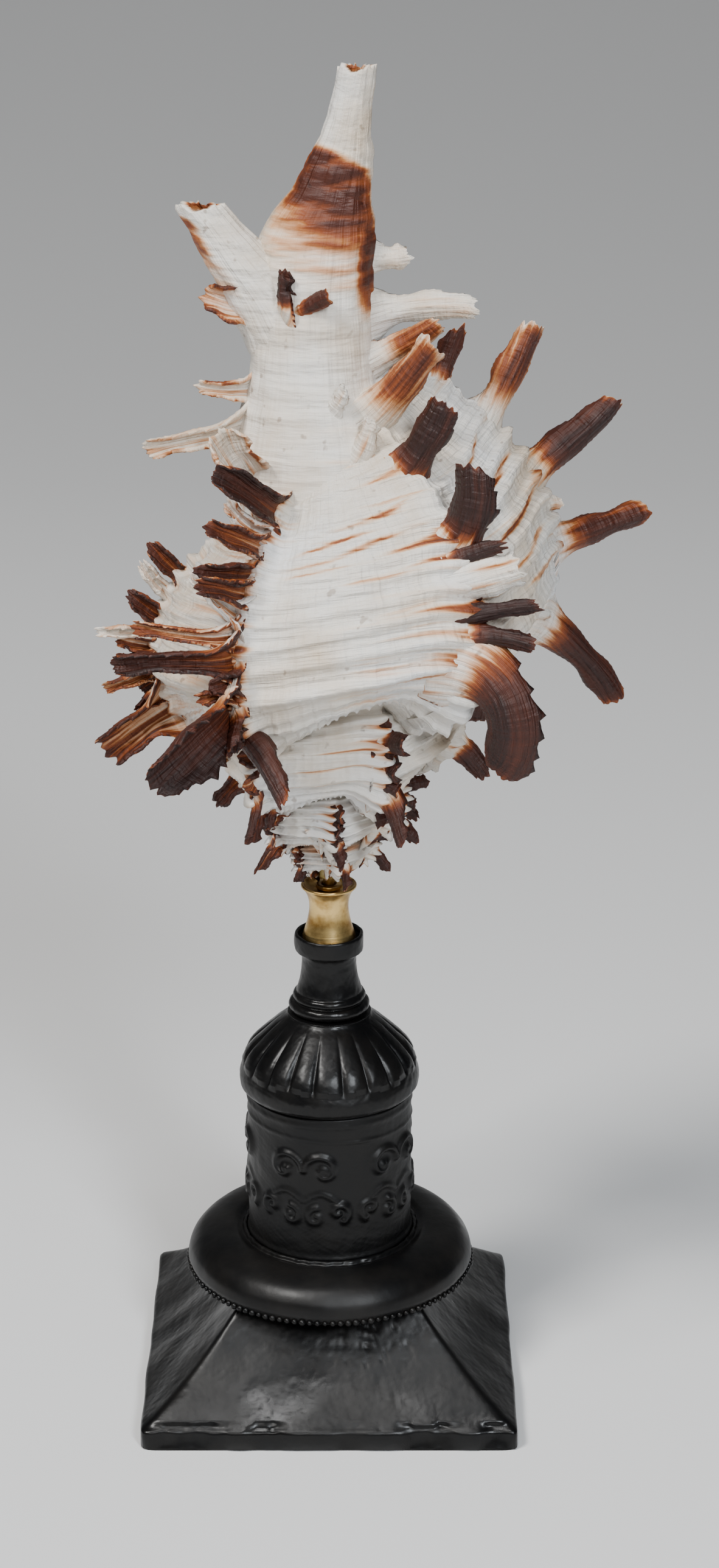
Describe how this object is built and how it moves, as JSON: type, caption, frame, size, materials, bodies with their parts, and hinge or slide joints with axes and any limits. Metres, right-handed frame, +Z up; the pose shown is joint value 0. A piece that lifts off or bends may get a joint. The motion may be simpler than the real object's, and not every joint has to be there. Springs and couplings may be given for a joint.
{
  "type": "murex shell on a stand",
  "caption": "Frilled murex shell held apex down by a pin on a waisted brass spool, above a black painted turned and cast stand with a square base.",
  "frame": {"origin": "centre of the square base's flat underside", "axes": "+Z up through the stand to the tip of the shell's canal, -Y towards the back of the shell's body whorl, +X to the right of that view"},
  "size_m": [0.0789, 0.0621, 0.195],
  "materials": {
    "shell": "natural shell, cream white with dark brown fronds",
    "black_paint": "gloss black paint over cast metal",
    "brass": "turned, polished",
    "amber_glue": "hard clear amber glue",
    "rod_steel": "plain rod"
  },
  "bodies": {
    "root": {"murex_shell": "shell", "glue_bead": "amber_glue", "mount_pin": "brass", "pin_bush": "brass", "brass_spool": "brass", "stand_neck": "black_paint", "fluted_dome": "black_paint", "relief_drum": "black_paint", "round_foot": "black_paint", "square_base": "black_paint", "tie_rod": "rod_steel"}
  },
  "joints": []
}
